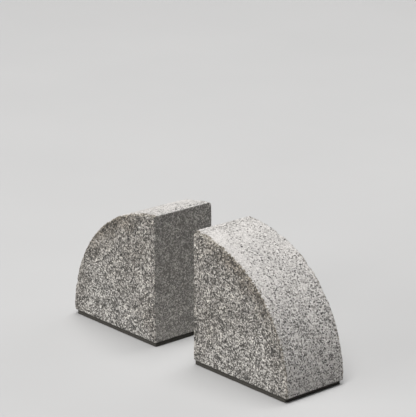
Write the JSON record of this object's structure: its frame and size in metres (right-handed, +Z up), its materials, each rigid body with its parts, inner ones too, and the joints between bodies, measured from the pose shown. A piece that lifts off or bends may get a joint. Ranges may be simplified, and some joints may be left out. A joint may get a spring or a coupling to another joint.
{
  "type": "pair of book ends",
  "caption": "Pair of heavy quarter-round granite book ends, each with a flat vertical book face, a curved outer face and a thin inset rubber pad under its flat base.",
  "frame": {"origin": "on the shelf surface, midway between the two book faces and midway across the width", "axes": "+X from the books to the right book end's toe, +Y to the far side across the width, +Z up"},
  "size_m": [0.28, 0.0644, 0.1188],
  "materials": {
    "granite": "salt-and-pepper grey granite, rough split texture on the two sides, finer and paler bush-hammered texture on the curved face, softened arrises",
    "base_pad": "matte, fine closed-cell texture",
    "pad_adhesive": "cream pressure-sensitive film, satin"
  },
  "bodies": {
    "right_bookend": {"right_granite_block": "granite", "right_pad_adhesive": "pad_adhesive", "right_base_pad": "base_pad"},
    "left_bookend": {"left_granite_block": "granite", "left_pad_adhesive": "pad_adhesive", "left_base_pad": "base_pad"}
  },
  "joints": [
    {"name": "left_bookend_slide", "type": "slide", "parent": "right_bookend", "child": "left_bookend", "axis": [-1, 0, 0], "range_m": [-0.049, 0.3]}
  ]
}
